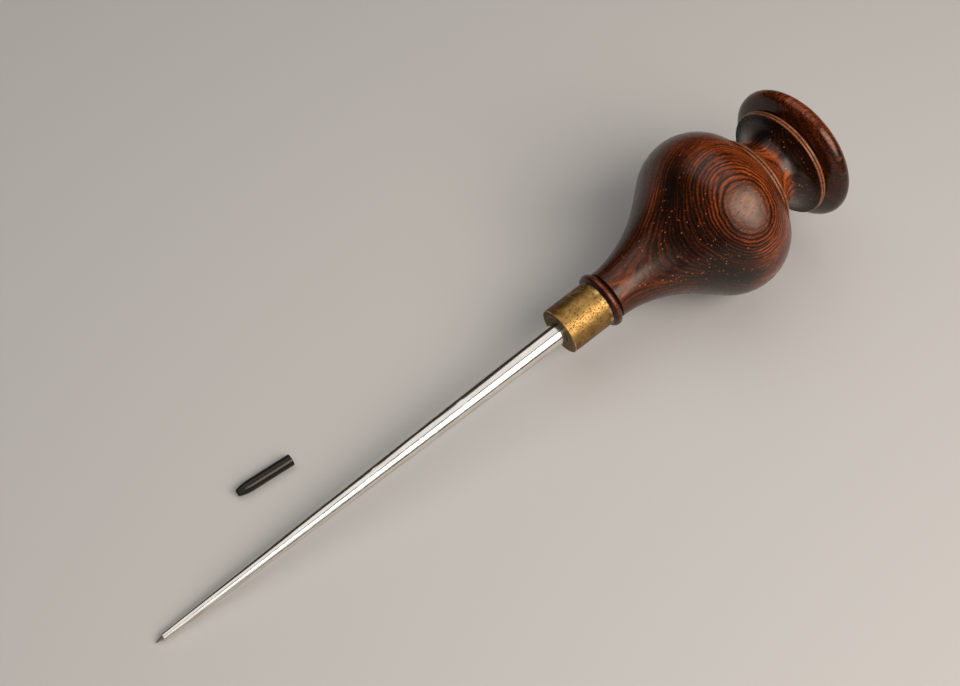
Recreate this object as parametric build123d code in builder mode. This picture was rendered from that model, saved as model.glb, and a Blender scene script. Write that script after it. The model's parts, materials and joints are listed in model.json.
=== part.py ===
from build123d import *
import os
from math import asin, atan2, cos, degrees, hypot, radians, sin, tan

os.makedirs("parts", exist_ok=True)

# A scratch awl in millimetres. It lies on a bench, on its point and on the bulb of its handle, and its
# tip guard lies beside the blade. +X runs from the point towards the pommel, +Z is up, and the bench is
# Z = 0. The turned pieces are drawn in the lathe plane: there x is the distance along the awl's axis
# from the very point, and y is the radius.

# Blade: a round steel rod, ground to a slightly swelled taper, with a short conical point.
blade_length = 100.0
blade_radius = 4.76 / 2
point_length = 1.95
point_radius = 0.83
taper_middle_radius = 1.75
tang_length = 38.0
tang_chamfer = 0.4
key_groove_depth = 0.3
key_groove_width = 1.2
key_groove_count = 4

# Ferrule: a brass cup with a bored front wall.
ferrule_length = 10.4
ferrule_radius = 5.3
ferrule_skirt_wall = 0.9
ferrule_front_wall = 1.6
ferrule_hole_play = 0.05
ferrule_edge_break = 0.12

# Handle: tenon and bore.
glue_gap = 0.17
bore_end_clearance = 1.0
drill_point_angle = 118.0

# Handle: bead, quirk and neck behind the ferrule.
bead_half_width = 1.0
bead_core_radius = 5.35
quirk_half_width = 0.25
quirk_radius = 5.0
neck_radius = 5.5
neck_waist_x, neck_waist_radius = 119.5, 6.42
neck_flare_x, neck_flare_radius = 127.4, 9.75

# Handle: the bulb's crown is a front and a rear arc. Behind it a tighter shoulder turns into a straight
# flank.
bulb_x = 143.4
bulb_radius = 18.85
front_crown_radius = 11.7
front_crown_angle = 38.5
rear_crown_radius = 10.7
rear_crown_angle = 40.0
bulb_shoulder_radius = 5.0
bulb_flank_angle = 62.0

# Handle: pairs of tiny half-round reeds, with the cove between them.
reed_radius = 0.36
bulb_reed_x = 153.95
bulb_reed_core_radius = 11.35
cove_x = 158.4
cove_radius = 8.4
pommel_reed_x = 163.57
pommel_reed_core_radius = 12.45

# Handle: the pommel, a knob with an elliptical rim and a low dome at its end.
pommel_quirk_x, pommel_quirk_radius = 164.45, 12.1
pommel_quirk_slope = 2.6
pommel_swell_x, pommel_swell_radius = 165.5, 14.5
pommel_x = 167.4
pommel_radius = 15.78
pommel_rim_depth = 3.5
pommel_rim_height = 8.75
pommel_rim_turn = 55.0

# Tip guard: a soft black tube, closed at its nose.
guard_length = 12.9
guard_radius = 1.3
guard_bore_radius = 0.9
guard_bore_depth = 10.0
guard_nose_length = 3.2
guard_nose_radius = 0.9
guard_nose_rounding = 0.55
guard_nose_slope = 0.3
guard_mouth_rounding = 0.1
guard_from_point = 28.6
guard_aside = 16.5
guard_turn = -1.7

# How the awl lies: its underside is the line that touches the shoulder of the point and the crown of
# the bulb, so the axis rises towards the pommel by this angle.
crown_centre_radius = bulb_radius - front_crown_radius
span_x = bulb_x - point_length
span_y = crown_centre_radius - point_radius
lying_angle = atan2(span_y, span_x) + asin(front_crown_radius / hypot(span_x, span_y))
apex_height = point_radius * cos(lying_angle) - point_length * sin(lying_angle)

# The pommel's dome is tangent to the elliptical rim where the rim ends, and its centre lies on the axis.
rim_turn = radians(pommel_rim_turn)
rim_centre_radius = pommel_radius - pommel_rim_height
rim_end_x = pommel_x + pommel_rim_depth * sin(rim_turn)
rim_end_radius = rim_centre_radius + pommel_rim_height * cos(rim_turn)
dome_half_angle = atan2(pommel_rim_depth, pommel_rim_height * tan(rim_turn))
dome_radius = rim_end_radius / sin(dome_half_angle)
dome_centre_x = rim_end_x - dome_radius * cos(dome_half_angle)
handle_end_x = dome_centre_x + dome_radius

# The origin is under the middle of the whole length, on the bench.
overall_length = dome_centre_x * cos(lying_angle) + dome_radius
apex = Vector(-overall_length / 2, 0, apex_height)
along = Vector(cos(lying_angle), 0, sin(lying_angle))
lathe_plane = Plane(origin=apex, x_dir=along, z_dir=(0, -1, 0))
lathe_axis = Axis(apex, along)

ferrule_x = blade_length
ferrule_hole_radius = blade_radius + ferrule_hole_play
tenon_radius = ferrule_radius - ferrule_skirt_wall
bore_radius = blade_radius + glue_gap
bead_front_x = ferrule_x + ferrule_length
bead_x = bead_front_x + bead_half_width
bead_rear_x = bead_x + bead_half_width
tang_end_x = ferrule_x + tang_length
tenon_front_x = ferrule_x + ferrule_front_wall
bore_corner_x = tang_end_x + bore_end_clearance
bore_end_x = bore_corner_x + bore_radius / tan(radians(drill_point_angle / 2))


def half_round(x, core_radius, half_width):
    """Draw a half-round ring of the turned profile, from its front foot to its rear foot."""
    front = (x - half_width, core_radius)
    rear = (x + half_width, core_radius)
    ThreePointArc(front, (x, core_radius + half_width), rear)


def reed_pair(x, core_radius):
    """Draw two small half-round reeds side by side, with the sharp valley between them at x."""
    half_round(x - reed_radius, core_radius, reed_radius)
    half_round(x + reed_radius, core_radius, reed_radius)


def arc_point(centre_x, centre_radius, arc_radius, angle):
    """Give the point of an arc at an angle in degrees from straight out, positive to the rear."""
    turn = radians(angle)
    return (centre_x + arc_radius * sin(turn), centre_radius + arc_radius * cos(turn))


def tang_outline():
    """Draw the tang's flank from the ferrule's face to its end, with its key grooves."""
    pitch = tang_length / (key_groove_count + 1)
    start = (ferrule_x, blade_radius)
    for index in range(1, key_groove_count + 1):
        groove_x = ferrule_x + index * pitch
        before = (groove_x - key_groove_width / 2, blade_radius)
        after = (groove_x + key_groove_width / 2, blade_radius)
        Line(start, before)
        ThreePointArc(before, (groove_x, blade_radius - key_groove_depth), after)
        start = after
    Line(start, (tang_end_x - tang_chamfer, blade_radius))
    Line((tang_end_x - tang_chamfer, blade_radius), (tang_end_x, blade_radius - tang_chamfer))
    Line((tang_end_x, blade_radius - tang_chamfer), (tang_end_x, 0))


# Blade
with BuildPart() as blade:
    with BuildSketch(lathe_plane):
        with BuildLine():
            Line((0, 0), (point_length, point_radius))
            taper_middle = ((point_length + ferrule_x) / 2, taper_middle_radius)
            ThreePointArc((point_length, point_radius), taper_middle, (ferrule_x, blade_radius))
            tang_outline()
            Line((tang_end_x, 0), (0, 0))
        make_face()
    revolve(axis=lathe_axis)
blade.part.label = "blade"

# Ferrule
with BuildPart() as ferrule:
    with BuildSketch(lathe_plane):
        with BuildLine():
            Polyline(
                (ferrule_x, ferrule_hole_radius),
                (ferrule_x, ferrule_radius - ferrule_edge_break),
                (ferrule_x + ferrule_edge_break, ferrule_radius),
                (bead_front_x, ferrule_radius),
                (bead_front_x, tenon_radius),
                (tenon_front_x, tenon_radius),
                (tenon_front_x, ferrule_hole_radius),
                close=True,
            )
        make_face()
    revolve(axis=lathe_axis)
ferrule.part.label = "ferrule"

# Handle
with BuildPart() as handle:
    with BuildSketch(lathe_plane):
        with BuildLine():
            # Bore, tenon and the bead that the ferrule stops against
            Line((bore_end_x, 0), (bore_corner_x, bore_radius))
            Line((bore_corner_x, bore_radius), (tenon_front_x, bore_radius))
            Line((tenon_front_x, bore_radius), (tenon_front_x, tenon_radius))
            Line((tenon_front_x, tenon_radius), (bead_front_x, tenon_radius))
            Line((bead_front_x, tenon_radius), (bead_front_x, bead_core_radius))
            half_round(bead_x, bead_core_radius, bead_half_width)

            # Quirk and neck
            quirk_bottom = (bead_rear_x + quirk_half_width, quirk_radius)
            neck_start = (bead_rear_x + 2 * quirk_half_width, neck_radius)
            Line((bead_rear_x, bead_core_radius), quirk_bottom)
            Line(quirk_bottom, neck_start)

            # Neck, and the bulb's crown, which it meets at the same slope
            front_turn = radians(front_crown_angle)
            front_crown = (bulb_x, bulb_radius - front_crown_radius, front_crown_radius)
            crown_start = arc_point(*front_crown, -front_crown_angle)
            Spline(
                neck_start,
                (neck_waist_x, neck_waist_radius),
                (neck_flare_x, neck_flare_radius),
                crown_start,
                tangents=[(1, 0), (cos(front_turn), sin(front_turn))],
            )
            crown_top = (bulb_x, bulb_radius)
            ThreePointArc(crown_start, arc_point(*front_crown, -front_crown_angle / 2), crown_top)
            rear_crown_centre_radius = bulb_radius - rear_crown_radius
            rear_crown = (bulb_x, rear_crown_centre_radius, rear_crown_radius)
            crown_end = arc_point(*rear_crown, rear_crown_angle)
            ThreePointArc(crown_top, arc_point(*rear_crown, rear_crown_angle / 2), crown_end)

            # The bulb's rear shoulder and flank
            inset = rear_crown_radius - bulb_shoulder_radius
            shoulder_centre = arc_point(bulb_x, rear_crown_centre_radius, inset, rear_crown_angle)
            shoulder_middle_angle = (rear_crown_angle + bulb_flank_angle) / 2
            shoulder_middle = arc_point(*shoulder_centre, bulb_shoulder_radius, shoulder_middle_angle)
            shoulder_end = arc_point(*shoulder_centre, bulb_shoulder_radius, bulb_flank_angle)
            ThreePointArc(crown_end, shoulder_middle, shoulder_end)
            bulb_reed_start = (bulb_reed_x - 2 * reed_radius, bulb_reed_core_radius)
            Line(shoulder_end, bulb_reed_start)

            # Reeds behind the bulb, cove, and reeds in front of the pommel
            reed_pair(bulb_reed_x, bulb_reed_core_radius)
            bulb_reed_end = (bulb_reed_x + 2 * reed_radius, bulb_reed_core_radius)
            pommel_reed_start = (pommel_reed_x - 2 * reed_radius, pommel_reed_core_radius)
            pommel_reed_end = (pommel_reed_x + 2 * reed_radius, pommel_reed_core_radius)
            ThreePointArc(bulb_reed_end, (cove_x, cove_radius), pommel_reed_start)
            reed_pair(pommel_reed_x, pommel_reed_core_radius)

            # Pommel: quirk, front swell, rim and dome
            pommel_quirk = (pommel_quirk_x, pommel_quirk_radius)
            Line(pommel_reed_end, pommel_quirk)
            Spline(
                pommel_quirk,
                (pommel_swell_x, pommel_swell_radius),
                (pommel_x, pommel_radius),
                tangents=[(1, pommel_quirk_slope), (1, 0)],
            )
            EllipticalCenterArc(
                (pommel_x, rim_centre_radius),
                pommel_rim_depth,
                pommel_rim_height,
                start_angle=90,
                arc_size=-pommel_rim_turn,
            )
            dome_middle = arc_point(dome_centre_x, 0, dome_radius, 90 - degrees(dome_half_angle) / 2)
            ThreePointArc((rim_end_x, rim_end_radius), dome_middle, (handle_end_x, 0))
            Line((handle_end_x, 0), (bore_end_x, 0))
        make_face()
    revolve(axis=lathe_axis)
handle.part.label = "handle"

# Adhesive: it fills the bore round the tang, from the ferrule's front wall to the bore's end.
with BuildPart() as tang_epoxy:
    with BuildSketch(lathe_plane):
        with BuildLine():
            Line((bore_end_x, 0), (bore_corner_x, bore_radius))
            Line((bore_corner_x, bore_radius), (tenon_front_x, bore_radius))
            Line((tenon_front_x, bore_radius), (tenon_front_x, 0))
            Line((tenon_front_x, 0), (bore_end_x, 0))
        make_face()
    revolve(axis=lathe_axis)
    with BuildSketch(lathe_plane):
        with BuildLine():
            Line((ferrule_x, 0), (ferrule_x, blade_radius))
            tang_outline()
            Line((tang_end_x, 0), (ferrule_x, 0))
        make_face()
    revolve(axis=lathe_axis, mode=Mode.SUBTRACT)
tang_epoxy.part.label = "tang_epoxy"

# Tip guard, drawn along its own axis from its nose
guard_heading = Vector(cos(radians(guard_turn)), sin(radians(guard_turn)), 0)
guard_nose = Vector(apex.X + guard_from_point, guard_aside, guard_radius)
guard_plane = Plane(origin=guard_nose, x_dir=guard_heading, z_dir=(0, 0, 1))
with BuildPart() as tip_guard:
    with BuildSketch(guard_plane):
        with BuildLine():
            nose_flat = guard_nose_radius - guard_nose_rounding
            nose_side = (guard_nose_rounding, guard_nose_radius)
            Line((0, 0), (0, nose_flat))
            RadiusArc((0, nose_flat), nose_side, guard_nose_rounding)
            Spline(
                nose_side,
                (guard_nose_length, guard_radius),
                tangents=[(1, guard_nose_slope), (1, 0)],
            )
            mouth_x = guard_length - guard_mouth_rounding
            Line((guard_nose_length, guard_radius), (mouth_x, guard_radius))
            mouth_edge = (guard_length, guard_radius - guard_mouth_rounding)
            RadiusArc((mouth_x, guard_radius), mouth_edge, guard_mouth_rounding)
            bore_bottom_x = guard_length - guard_bore_depth
            bore_tip_x = bore_bottom_x - guard_bore_radius / 2
            Line(mouth_edge, (guard_length, guard_bore_radius))
            Line((guard_length, guard_bore_radius), (bore_bottom_x, guard_bore_radius))
            Line((bore_bottom_x, guard_bore_radius), (bore_tip_x, 0))
            Line((bore_tip_x, 0), (0, 0))
        make_face()
    revolve(axis=Axis(guard_nose, guard_heading))
tip_guard.part.label = "tip_guard"

export_step(blade.part, "parts/blade.step")
export_step(ferrule.part, "parts/ferrule.step")
export_step(handle.part, "parts/handle.step")
export_step(tang_epoxy.part, "parts/tang_epoxy.step")
export_step(tip_guard.part, "parts/tip_guard.step")
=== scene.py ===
import json
from math import cos, pi, radians, sin, tan

import bpy
from mathutils import Matrix, Vector


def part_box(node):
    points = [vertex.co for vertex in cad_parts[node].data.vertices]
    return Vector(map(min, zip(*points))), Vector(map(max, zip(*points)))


# The looks of a scratch awl. Its axis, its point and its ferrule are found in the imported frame, in
# metres. The materials work in millimetres, in "lathe space": x runs along the awl's axis from the very
# point, and z is up.
MM = 0.001

# Turned details along the axis, in lathe space: the length of the blade's conical point, the crest of the
# bead behind the ferrule, and the crests of the handle's tiny reeds
POINT_LENGTH = 1.95
BEAD_CREST = 111.4
REED_CRESTS = (153.59, 154.31, 163.21, 163.93)

# The view
CAMERA_PLACE = Vector((-0.085083, -0.097374, 0.220451))
CAMERA_HEADING = Vector((0.34076, 0.42670, -0.83774))
CAMERA_LENS = 45.0

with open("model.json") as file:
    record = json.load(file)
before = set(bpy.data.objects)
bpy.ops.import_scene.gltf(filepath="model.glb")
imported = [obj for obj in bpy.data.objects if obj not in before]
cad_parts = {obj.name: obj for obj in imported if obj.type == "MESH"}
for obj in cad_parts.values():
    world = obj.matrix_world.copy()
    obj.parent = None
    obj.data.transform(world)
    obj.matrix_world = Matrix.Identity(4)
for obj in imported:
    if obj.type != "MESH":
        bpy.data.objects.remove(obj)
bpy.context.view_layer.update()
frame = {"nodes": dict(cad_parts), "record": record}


# ---- where the awl's axis and its ferrule are --------------------------------------------------
mounts = {mount["name"]: mount for mount in frame["record"]["mounts"]}
along = -Vector(mounts["ferrule_seat"]["axis"]).normalized()
aside = Vector((0, 1, 0))
upward = along.cross(aside)
seat = Vector(mounts["ferrule_seat"]["pos_m"])
point = seat + along * ((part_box("blade")[0].x - seat.x) / along.x)
ferrule_places = [(vertex.co - point).dot(along) / MM for vertex in frame["nodes"]["ferrule"].data.vertices]
ferrule_front, ferrule_rear = min(ferrule_places), max(ferrule_places)
ferrule_radius = mounts["ferrule_seat"]["dims"]["r_mm"]


# ---- node helpers ------------------------------------------------------------------------------
class Finish:
    """A material, put together one node at a time. A value is a constant or another node's output."""

    def __init__(self, name):
        self.material = bpy.data.materials.new(name)
        self.material.use_nodes = True
        self.tree = self.material.node_tree
        self.shader = self.tree.nodes["Principled BSDF"]

    def put(self, value, socket):
        if isinstance(value, bpy.types.NodeSocket):
            self.tree.links.new(value, socket)
        else:
            socket.default_value = value

    def node(self, kind, inputs=(), output=0, **settings):
        made = self.tree.nodes.new(kind)
        for name, value in settings.items():
            setattr(made, name, value)
        for key, value in dict(inputs).items():
            self.put(value, made.inputs[key])
        return made.outputs[output]

    def space(self, origin, x_axis, z_axis):
        """Object coordinates in millimetres from an origin, turned to the given axes."""
        y_axis = z_axis.cross(x_axis).normalized()
        x_axis = y_axis.cross(z_axis).normalized()
        turn = Matrix((x_axis, y_axis, z_axis)).transposed().to_euler()
        where = self.node("ShaderNodeTexCoord", output="Object")
        inputs = {"Vector": where, "Location": origin, "Rotation": turn, "Scale": (MM, MM, MM)}
        return self.node("ShaderNodeMapping", inputs, vector_type="TEXTURE")

    def split(self, vector):
        made = self.tree.nodes.new("ShaderNodeSeparateXYZ")
        self.put(vector, made.inputs[0])
        return made.outputs[0], made.outputs[1], made.outputs[2]

    def join(self, x, y, z):
        return self.node("ShaderNodeCombineXYZ", {0: x, 1: y, 2: z})

    def stretch(self, vector, factors):
        return self.node("ShaderNodeVectorMath", {0: vector, 1: factors}, operation="MULTIPLY")

    def math(self, operation, a, b=0.0, c=0.0):
        return self.node("ShaderNodeMath", {0: a, 1: b, 2: c}, operation=operation)

    def times(self, a, b):
        return self.math("MULTIPLY", a, b)

    def times_add(self, a, b, c):
        return self.math("MULTIPLY_ADD", a, b, c)

    def minus(self, a, b):
        return self.math("SUBTRACT", a, b)

    def larger(self, a, b):
        return self.math("MAXIMUM", a, b)

    def noise(self, vector, scale=1.0, detail=2.0, roughness=0.5):
        inputs = {"Vector": vector, "Scale": scale, "Detail": detail, "Roughness": roughness}
        return self.node("ShaderNodeTexNoise", inputs)

    def spots(self, vector):
        """Distance to the nearest of dots scattered one to a unit cube, and that dot's random number."""
        made = self.tree.nodes.new("ShaderNodeTexVoronoi")
        self.put(vector, made.inputs["Vector"])
        made.inputs["Scale"].default_value = 1.0
        return made.outputs["Distance"], self.split(made.outputs["Color"])[0]

    def span(self, value, low, high, to_low=0.0, to_high=1.0):
        """A value rescaled from low..high to to_low..to_high, and held level past both ends."""
        inputs = {"Value": value, "From Min": low, "From Max": high, "To Min": to_low, "To Max": to_high}
        return self.node("ShaderNodeMapRange", inputs)

    def ramp(self, value, stops):
        made = self.tree.nodes.new("ShaderNodeValToRGB")
        elements = made.color_ramp.elements
        while len(elements) < len(stops):
            elements.new(0.5)
        for element, (place, colour) in zip(elements, stops):
            element.position = place
            element.color = (*colour, 1.0)
        self.put(value, made.inputs[0])
        return made.outputs[0]

    def mix(self, factor, a, b, blend="MIX"):
        made = self.tree.nodes.new("ShaderNodeMix")
        made.data_type = "RGBA"
        made.blend_type = blend
        self.put(factor, made.inputs[0])
        for value, socket in ((a, made.inputs[6]), (b, made.inputs[7])):
            self.put(value if isinstance(value, bpy.types.NodeSocket) else (*value, 1.0), socket)
        return made.outputs[2]

    def bump(self, height, depth_mm):
        """A bump whose height, from 0 to 1, stands for depth_mm."""
        return self.node("ShaderNodeBump", {"Strength": 1.0, "Distance": depth_mm * MM, "Height": height})

    def finish(self, **inputs):
        """Set the shader's sockets, each named in lower case with underscores, and give the material."""
        for key, value in inputs.items():
            self.put(value, self.shader.inputs[key.replace("_", " ").title().replace("Ior", "IOR")])
        return self.material


# ---- materials ---------------------------------------------------------------------------------
def hardwood():
    """Red-brown figured wood: growth layers nearly parallel to the axis, cut by the turned surface.

    A point's place is its distance along the axis, its side is how far it lies to the left of the axis,
    and its level is its height across the wavy layers. The eye is where the bulb reaches the top layers.
    """
    layer_lean, layer_tilt = radians(-32), radians(7.7)
    across = upward * cos(layer_lean) + aside * sin(layer_lean)
    layer_normal = (across * cos(layer_tilt) - along * sin(layer_tilt)).normalized()
    f = Finish("hardwood")
    lathe = f.space(point, along, upward)
    place, side, _ = f.split(lathe)
    grain = f.space(point, along, layer_normal)
    x, y, layer = f.split(grain)

    # The layers drift and wave, so the rings round the bulb's eye are never quite even
    drift = f.times_add(f.noise(f.stretch(grain, (0.025, 0.05, 0.05)), detail=1.0), 2.4, layer)
    wave = f.times_add(f.noise(f.stretch(grain, (0.08, 0.2, 0.2)), detail=1.0), 0.7, drift)
    level = f.times_add(f.noise(f.stretch(grain, (0.4, 0.9, 0.9)), detail=1.0), 0.07, wave)
    sheets = f.join(x, y, level)

    # Tone: zones and bands of layers
    zones = f.noise(f.stretch(sheets, (0.05, 0.06, 0.22)), detail=1.0)
    bands = f.noise(f.stretch(sheets, (0.05, 0.08, 1.3)), detail=1.0)
    tone = f.times_add(zones, 0.55, f.times_add(bands, 0.45, 0.08))

    # The tone changes in places: the heart is the dark wood between the neck and the eye, and the flare is
    # the cove's rear part, below the pommel. Some changes are painted light: the darkening of the flare, of
    # the pommel's front and lower right, and of the bulb's far and low sides is painted shade, and the
    # lightening of the cove's top is painted highlight
    front = f.times(f.span(place, 116.0, 124.0), f.span(place, 141.0, 134.0))
    below_eye = f.times(f.span(level, -0.5, -1.6), f.span(level, -11.0, -7.0))
    heart = f.times(front, below_eye)
    # Painted shade: the flare, which faces the tip, is darkened for the shade it lies in
    flare = f.times(f.span(place, 158.8, 160.4), f.span(place, 163.2, 162.9))
    knob = f.span(place, 164.2, 164.7)
    # Painted shade: the pommel's front and its lower right side are darkened
    knob_right = f.span(side, -8.0, -14.0)
    knob_front = f.span(place, 166.8, 165.2)
    knob_painted_shade = f.times(knob, f.larger(knob_right, knob_front))
    # Painted shade: the bulb and neck are darkened where they lie lowest across the layers, on the side
    # away from the eye
    far_side_painted_shade = f.times(f.span(level, -9.5, -13.0), f.span(place, 152.0, 146.0))
    # Painted shade: in front of the bulb's middle, the side towards -Y is darkened
    low_side_painted_shade = f.times(f.span(side, -9.0, -13.0), f.span(place, 142.0, 137.0))
    neck = f.span(place, 128.0, 121.0)
    cove = f.times(f.span(place, 154.6, 156.0), f.span(place, 160.6, 159.2))
    # Painted highlight: the cove is lightened where its highlight falls, towards the top of the layers
    cove_painted_highlight = f.times(cove, f.span(level, -15.5, -12.5))
    for where, change in (
        (front, -0.10), (heart, -0.22), (flare, -0.45), (knob, 0.06), (neck, -0.04),
        (cove_painted_highlight, 0.12), (knob_painted_shade, -0.34), (far_side_painted_shade, -0.16), (low_side_painted_shade, -0.20),
    ):
        tone = f.times_add(where, change, tone)

    # The eye, the neck and the bead are plainer: there the tone is drawn towards an even one. On the neck
    # that tone is raised along the strip where its highlight falls, and on the bead it is raised at the
    # crest, both as painted highlight
    eye = f.times(f.span(level, 0.35, 0.7), f.span(place, 125.0, 130.0))
    # Painted highlight: the neck's even tone is raised along its top, where its highlight falls
    neck_tone_and_painted_highlight = f.span(level, -10.5, -8.5, 0.40, 0.52)
    bead = f.span(place, 113.0, 112.7)
    from_crest = f.math("ABSOLUTE", f.minus(place, BEAD_CREST))
    # Painted highlight: the bead is lightened along its crest and left dark off it
    bead_tone_and_painted_highlight = f.span(from_crest, 0.2, 0.6, 0.62, 0.20)
    for where, share, even in ((eye, 0.9, 0.58), (neck, 0.6, neck_tone_and_painted_highlight), (bead, 0.9, bead_tone_and_painted_highlight)):
        tone = f.times_add(f.minus(even, tone), f.times(where, share), tone)

    # Figure: dark lines, closer together in the upper layers, finer rings between them, and fibres
    # along the axis
    pace = f.noise(f.stretch(sheets, (0.02, 0.03, 0.4)), detail=1.0)
    shiver = f.noise(f.stretch(grain, (0.35, 1.1, 1.1)), detail=2.0)
    phase = f.times_add(pace, 8.0, f.times(shiver, 2.8))
    phase = f.times_add(level, 8.0, phase)
    for lowest, more in ((-7.0, 4.5), (-1.5, 2.5)):
        phase = f.times_add(f.larger(level, lowest), more, phase)
    lines = f.span(f.math("SINE", phase), -0.9, 0.5)
    rings = f.noise(f.stretch(sheets, (0.11, 0.24, 5.4)), detail=3.0, roughness=0.68)
    fibre = f.noise(f.stretch(grain, (0.6, 5.0, 5.0)), detail=2.0)
    plain = f.larger(f.larger(eye, knob), f.larger(bead, f.times(neck, 0.5)))
    crisp = f.times(f.span(side, -3.0, -9.0), f.span(level, -8.0, -5.0))
    line_depth = f.times_add(crisp, 0.10, f.span(level, -3.0, -1.0, 0.23, 0.34))
    line_depth = f.times_add(plain, -0.25, line_depth)
    figure = f.times_add(f.minus(lines, 0.6), line_depth, tone)
    ring_depth = f.times_add(plain, -0.38, 1.12)
    figure = f.times_add(f.minus(rings, 0.5), ring_depth, figure)
    fibre_depth = f.times_add(f.larger(knob, eye), 0.5, 0.8)
    figure = f.times_add(f.minus(fibre, 0.5), fibre_depth, figure)
    colour = f.ramp(figure, [
        (0.00, (0.003, 0.0012, 0.0008)),
        (0.25, (0.011, 0.0032, 0.0014)),
        (0.45, (0.040, 0.0074, 0.0017)),
        (0.62, (0.120, 0.0202, 0.0036)),
        (0.82, (0.250, 0.0470, 0.0075)),
        (1.00, (0.400, 0.0950, 0.0170)),
    ])

    # The eye's plain wood is greyed in its middle as painted highlight, for the satin sheen there, and it
    # has short dark dashes
    eye_painted_sheen = f.times(f.span(level, 0.45, 1.25), f.span(place, 125.0, 130.0))
    colour = f.mix(f.times(eye_painted_sheen, 0.38), colour, (0.21, 0.125, 0.085))
    dash = f.span(f.noise(f.stretch(grain, (1.0, 3.2, 3.2)), detail=1.0), 0.56, 0.64)
    colour = f.mix(f.times(f.times(dash, eye), 0.6), colour, (0.030, 0.014, 0.009))

    # The crests of the reeds are worn lighter, and the lighter colour also stands in for the highlight on
    # them: partly wear, partly painted highlight
    reed_wear_and_sheen = 0.0
    for crest in REED_CRESTS:
        from_crest = f.math("ABSOLUTE", f.minus(place, crest))
        reed_wear_and_sheen = f.larger(reed_wear_and_sheen, f.span(from_crest, 0.33, 0.16))
    reed_wear_and_sheen = f.times(reed_wear_and_sheen, f.span(fibre, 0.35, 0.55, 0.25, 0.85))
    colour = f.mix(reed_wear_and_sheen, colour, (0.30, 0.115, 0.050))

    # Pores: short dark vessels along the axis
    pores = 0.0
    for spacing, radius, share in ((0.9, 0.13, 0.5), (0.5, 0.08, 0.6)):
        distance, chance = f.spots(f.stretch(grain, (0.25 / spacing, 1 / spacing, 1 / spacing)))
        edge = radius / spacing
        open_here = f.span(chance, share, share - 0.02)
        pores = f.larger(pores, f.times(f.span(distance, edge * 1.25, edge * 0.6), open_here))
    colour = f.mix(f.times(pores, 0.8), colour, (0.006, 0.003, 0.002))

    # In the dark wood, clusters of pores catch the light
    cluster = f.span(f.noise(f.stretch(sheets, (0.10, 0.16, 0.7)), detail=1.0), 0.44, 0.60)
    dark_here = f.larger(heart, f.times(flare, 0.8))
    share = f.times(f.times(cluster, dark_here), 0.95)
    distance, chance = f.spots(f.stretch(grain, (0.9, 1.7, 1.7)))
    lit = f.times(f.span(distance, 0.24, 0.13), f.span(f.minus(share, chance), 0.0, 0.02))
    colour = f.mix(f.times(lit, 0.9), colour, (0.55, 0.135, 0.040))

    gloss = f.noise(f.stretch(grain, (0.5, 0.5, 0.5)), detail=3.0)
    rough = f.times_add(pores, 0.2, f.span(gloss, 0.3, 0.7, 0.24, 0.31))
    rough = f.times_add(knob, -0.11, rough)
    normal = f.bump(f.minus(f.times(fibre, 0.5), f.times(pores, 0.6)), 0.02)
    return f.finish(base_color=colour, roughness=rough, normal=normal, specular_ior_level=0.42,
                    specular_tint=(1.0, 0.84, 0.74, 1.0))


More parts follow.
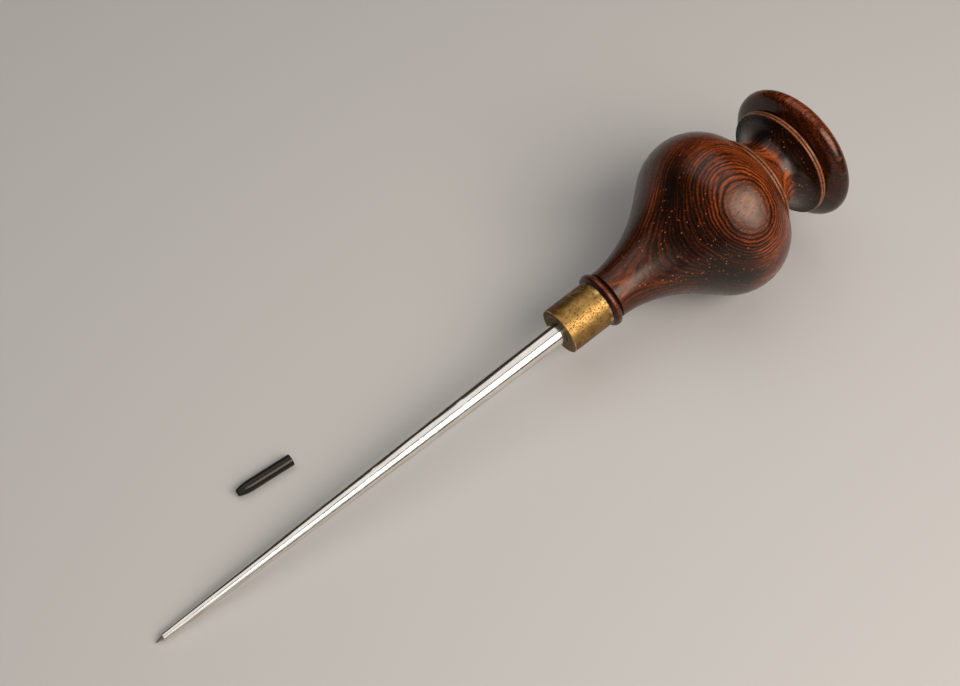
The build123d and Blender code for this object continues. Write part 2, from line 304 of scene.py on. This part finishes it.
def brass():
    """Aged brass: turning marks, small dark pits, scratches, a brown patina darkened as painted shade on
    two sides, a front face in painted shade and worn edges with painted glints.
    """
    f = Finish("brass")
    lathe = f.space(point, along, upward)
    x, y, z = f.split(lathe)
    turn = f.math("ARCTAN2", y, z)
    radius = f.math("SQRT", f.times_add(y, y, f.times(z, z)))
    arc = f.times(turn, ferrule_radius)
    skin = f.join(x, arc, radius)

    cloud = f.noise(skin, scale=0.7, detail=5.0, roughness=0.65)
    # Painted shade: besides its cloudy patina, the brass is darkened from its top round towards +Y, and low
    # on its -Y side
    patina_and_painted_shade = f.times_add(f.span(turn, 0.0, 1.0), -0.5, f.span(cloud, 0.15, 0.85))
    patina_and_painted_shade = f.times_add(f.span(turn, -0.9, -1.5), -0.25, patina_and_painted_shade)
    colour = f.ramp(patina_and_painted_shade, [
        (0.0, (0.14, 0.074, 0.021)),
        (0.5, (0.35, 0.198, 0.060)),
        (1.0, (0.52, 0.310, 0.105)),
    ])

    # Painted shade: the front face is darkened, for the dark surroundings it reflects, and it has
    # concentric turning marks
    face = f.span(x, ferrule_front + 0.10, ferrule_front + 0.03)
    circles = f.noise(f.join(f.times(radius, 4.5), f.times(turn, 0.4), 0.0), detail=2.0)
    face_colour_with_painted_shade = f.ramp(circles, [(0.35, (0.050, 0.026, 0.007)), (0.65, (0.24, 0.140, 0.042))])
    colour = f.mix(face, colour, face_colour_with_painted_shade)

    # Painted highlight: bright glints along the front edge, which is also worn, and here and there along
    # the rear edge
    front_edge_wear_and_glint = f.times(
        f.span(x, ferrule_front + 0.20, ferrule_front + 0.10),
        f.span(radius, ferrule_radius - 0.16, ferrule_radius - 0.10),
    )
    front_edge_wear_and_glint = f.times(front_edge_wear_and_glint, f.span(cloud, 0.35, 0.60, 0.25, 1.0))
    near_rear = f.span(x, ferrule_rear - 1.1, ferrule_rear - 0.3)
    rear_edge_glint = f.times(near_rear, f.span(cloud, 0.45, 0.6, 0.0, 0.8))
    colour = f.mix(f.larger(front_edge_wear_and_glint, rear_edge_glint), colour, (0.86, 0.58, 0.24))

    # Pits, thickest along the side that faces up and to the right of the blade
    thick = f.times(f.span(turn, 0.35, -0.2), f.span(turn, -1.5, -1.1))
    thick = f.times_add(thick, 0.52, 0.22)
    pit = 0.0
    for spacing, size in ((0.34, 0.34), (0.60, 0.28)):
        distance, chance = f.spots(f.stretch(skin, (0.8 / spacing, 1 / spacing, 0.5)))
        open_here = f.span(f.minus(thick, chance), 0.0, 0.02)
        pit = f.larger(pit, f.times(f.span(distance, size, size * 0.6), open_here))
    pit = f.times(pit, f.span(face, 1.0, 0.0))
    colour = f.mix(f.times(pit, 0.7), colour, (0.07, 0.040, 0.016))

    # Fine slanting scratches near the upper edge. Each runs straight on the unrolled skin, from a start
    # to an end in distance along the axis and round the ferrule
    scratch = 0.0
    for start, end in (
        ((105.6, 4.4), (108.4, 1.7)),
        ((105.5, 4.3), (105.9, 1.0)),
        ((107.1, 3.7), (109.1, 2.3)),
        ((103.4, 3.9), (104.5, 2.2)),
        ((101.0, 2.9), (101.6, 1.4)),
    ):
        reach = Vector(end) - Vector(start)
        length, (ahead, round_it) = reach.length, reach.normalized()
        gone = f.times_add(x, ahead, f.times_add(arc, round_it, -Vector(start).dot(reach) / length))
        start_off = start[0] * round_it - start[1] * ahead
        off = f.times_add(x, -round_it, f.times_add(arc, ahead, start_off))
        line = f.span(f.math("ABSOLUTE", off), 0.07, 0.03)
        ends = f.times(f.span(gone, 0.0, 0.3), f.span(gone, length, length - 0.4))
        scratch = f.larger(scratch, f.times(line, ends))
    colour = f.mix(f.times(scratch, 0.75), colour, (0.85, 0.60, 0.28))

    marks = f.noise(f.join(f.times(x, 9.0), f.times(turn, 0.8), 0.0), detail=2.0)
    rough = f.times_add(pit, 0.25, f.span(cloud, 0.3, 0.7, 0.50, 0.38))
    rough = f.times_add(face, 0.08, rough)
    relief = f.minus(f.times(marks, 0.25), f.larger(pit, scratch))
    relief = f.times_add(f.times(face, circles), 0.6, relief)
    return f.finish(base_color=colour, metallic=1.0, roughness=rough, normal=f.bump(relief, 0.022))


def steel():
    """Polished steel, with fine lines drawn along the taper, tan streaks of painted reflection and a duller
    ground point.
    """
    f = Finish("steel")
    lathe = f.space(point, along, upward)
    lines = f.noise(f.stretch(lathe, (0.03, 9.0, 9.0)), detail=3.0)
    cloud = f.noise(lathe, scale=0.25, detail=3.0)
    colour = f.ramp(cloud, [(0.3, (0.67, 0.635, 0.59)), (0.7, (0.79, 0.755, 0.705))])
    # Painted reflection: tan streaks along the taper stand in for the warm floor reflected in the steel
    tan_painted_reflection = f.span(f.noise(f.stretch(lathe, (0.04, 3.0, 3.0)), detail=1.0), 0.60, 0.68)
    colour = f.mix(f.times(tan_painted_reflection, 0.5), colour, (0.46, 0.33, 0.22))
    place = f.split(lathe)[0]
    ground_point = f.span(place, POINT_LENGTH + 0.15, POINT_LENGTH - 0.05)
    rough = f.times_add(ground_point, 0.25, f.span(lines, 0.3, 0.7, 0.10, 0.20))
    return f.finish(base_color=colour, metallic=1.0, roughness=rough, normal=f.bump(lines, 0.0015))


def adhesive():
    """Cured amber epoxy, cloudy with tiny bubbles."""
    f = Finish("adhesive")
    lathe = f.space(point, along, upward)
    cloud = f.noise(lathe, scale=0.8, detail=3.0)
    colour = f.ramp(cloud, [(0.3, (0.50, 0.34, 0.12)), (0.7, (0.74, 0.58, 0.30))])
    distance, _ = f.spots(f.stretch(lathe, (3.0, 3.0, 3.0)))
    bubble = f.span(distance, 0.2, 0.1)
    rough = f.span(cloud, 0.3, 0.7, 0.25, 0.45)
    return f.finish(base_color=colour, roughness=rough, normal=f.bump(f.minus(1.0, bubble), 0.03))


def vinyl():
    """Glossy black soft vinyl, with faint scuffs."""
    f = Finish("black_vinyl")
    bore = mounts["guard_bore"]
    near = f.space(Vector(bore["pos_m"]), Vector(bore["axis"]), Vector((0, 0, 1)))
    scuff = f.noise(f.stretch(near, (0.8, 3.0, 3.0)), detail=4.0, roughness=0.65)
    colour = f.ramp(scuff, [(0.35, (0.004, 0.004, 0.004)), (0.75, (0.014, 0.012, 0.011))])
    rough = f.span(scuff, 0.3, 0.75, 0.12, 0.24)
    return f.finish(base_color=colour, roughness=rough, normal=f.bump(scuff, 0.004),
                    specular_ior_level=0.33, specular_tint=(1.0, 0.86, 0.72, 1.0))


def dress(node, material):
    """Give a CAD node its material."""
    for slot in frame["nodes"][node].material_slots:
        slot.material = material


dress("handle", hardwood())
dress("ferrule", brass())
dress("blade", steel())
dress("tang_epoxy", adhesive())
dress("tip_guard", vinyl())


# ---- floor, light and camera -------------------------------------------------------------------
def floor():
    """A plain pale floor under the object."""
    reach = 3.0
    mesh = bpy.data.meshes.new("floor")
    corners = [(-reach, -reach, 0), (reach, -reach, 0), (reach, reach, 0), (-reach, reach, 0)]
    mesh.from_pydata(corners, [], [(0, 1, 2, 3)])
    made = bpy.data.objects.new("floor", mesh)
    bpy.context.scene.collection.objects.link(made)
    f = Finish("floor")
    mesh.materials.append(f.finish(base_color=(0.54, 0.52, 0.50, 1.0), roughness=0.6))


def area_light(name, place, heading, width, height, radiance, colour=(1.0, 1.0, 1.0)):
    """A rectangular light at a place, shining back along a heading, with its sizes in metres."""
    light = bpy.data.lights.new(name, "AREA")
    light.shape = "RECTANGLE"
    light.size = width
    light.size_y = height
    light.energy = radiance * pi * width * height
    light.color = colour
    made = bpy.data.objects.new(name, light)
    made.location = place
    made.rotation_euler = heading.to_track_quat("Z", "Y").to_euler()
    bpy.context.scene.collection.objects.link(made)


def softbox(name, azimuth, elevation, width, height, radiance, distance=0.9):
    """A soft light, seen from the object in a direction and as large as two angles, in degrees."""
    a, e = radians(azimuth), radians(elevation)
    heading = Vector((cos(a) * cos(e), sin(a) * cos(e), sin(e)))
    sizes = [2 * distance * tan(radians(angle / 2)) for angle in (width, height)]
    area_light(name, heading * distance, heading, *sizes, radiance)


def window():
    """The brightest light: a near panel along the awl's right side, its lower edge falling to the right.

    It is made of upright pieces side by side. Each is (middle x, width, low edge, high edge), with the
    sizes along X in metres and the edges as elevations in degrees.
    """
    distance, radiance, colour = 0.5, 4.5, (1.0, 0.93, 0.84)
    top = 65.0
    strips = 8
    left, right = -0.165, 0.10
    low_left, low_right = 48.0, 21.0
    strip_width = (right - left) / strips
    pieces = []
    for index in range(strips):
        share = (index + 0.5) / strips
        low = low_left + (low_right - low_left) * share
        pieces.append((left + (right - left) * share, strip_width, low, top))
    pieces += [(0.15, 0.10, 26.0, top), (0.28, 0.16, 40.0, 62.0)]
    for index, (x, width, low, high) in enumerate(pieces):
        middle = radians((low + high) / 2)
        heading = Vector((0, -cos(middle), sin(middle)))
        place = heading * distance + Vector((x, 0, 0))
        height = 2 * distance * tan(radians((high - low) / 2))
        area_light(f"window.{index}", place, heading, width, height, radiance, colour)


def room():
    """Dim, even light from all round."""
    world = bpy.data.worlds.new("room")
    world.use_nodes = True
    background = world.node_tree.nodes["Background"]
    background.inputs["Color"].default_value = (0.044, 0.037, 0.031, 1.0)
    bpy.context.scene.world = world


def camera():
    """The camera, with its horizon level."""
    lens = bpy.data.cameras.new("camera")
    lens.lens = CAMERA_LENS
    lens.sensor_width = 36.0
    lens.clip_start = 0.01
    made = bpy.data.objects.new("camera", lens)
    made.location = CAMERA_PLACE
    made.rotation_euler = CAMERA_HEADING.to_track_quat("-Z", "Y").to_euler()
    bpy.context.scene.collection.objects.link(made)
    bpy.context.scene.camera = made


floor()
softbox("main", azimuth=-90, elevation=42, width=66, height=58, radiance=0.9)
window()
softbox("overhead", azimuth=85, elevation=72, width=56, height=58, radiance=1.0)
room()
camera()
bpy.context.scene.view_settings.view_transform = "Standard"
